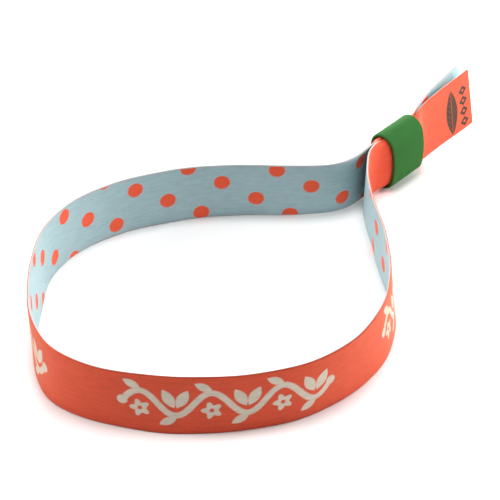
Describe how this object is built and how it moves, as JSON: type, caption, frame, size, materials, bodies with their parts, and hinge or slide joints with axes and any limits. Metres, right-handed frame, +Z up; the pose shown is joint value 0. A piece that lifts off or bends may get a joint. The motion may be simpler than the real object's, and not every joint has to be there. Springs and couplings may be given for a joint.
{
  "type": "festival wristband",
  "caption": "Woven satin ribbon wristband with a sliding oval plastic lock; the pear-shaped wrist loop stands on its edge and the short tails pass through the lock.",
  "frame": {"origin": "middle of the wrist opening, at floor level", "axes": "+Z up out of the wrist opening, +X along the lock towards the two tails, +Y towards the rear strand"},
  "size_m": [0.1469, 0.0833, 0.0159],
  "materials": {
    "satin_ribbon": "fine woven satin, coral outside and light blue with coral dots inside",
    "lock_plastic": "smooth satin moulding"
  },
  "bodies": {
    "root": {"band": "satin_ribbon", "closure": "lock_plastic"}
  },
  "joints": []
}
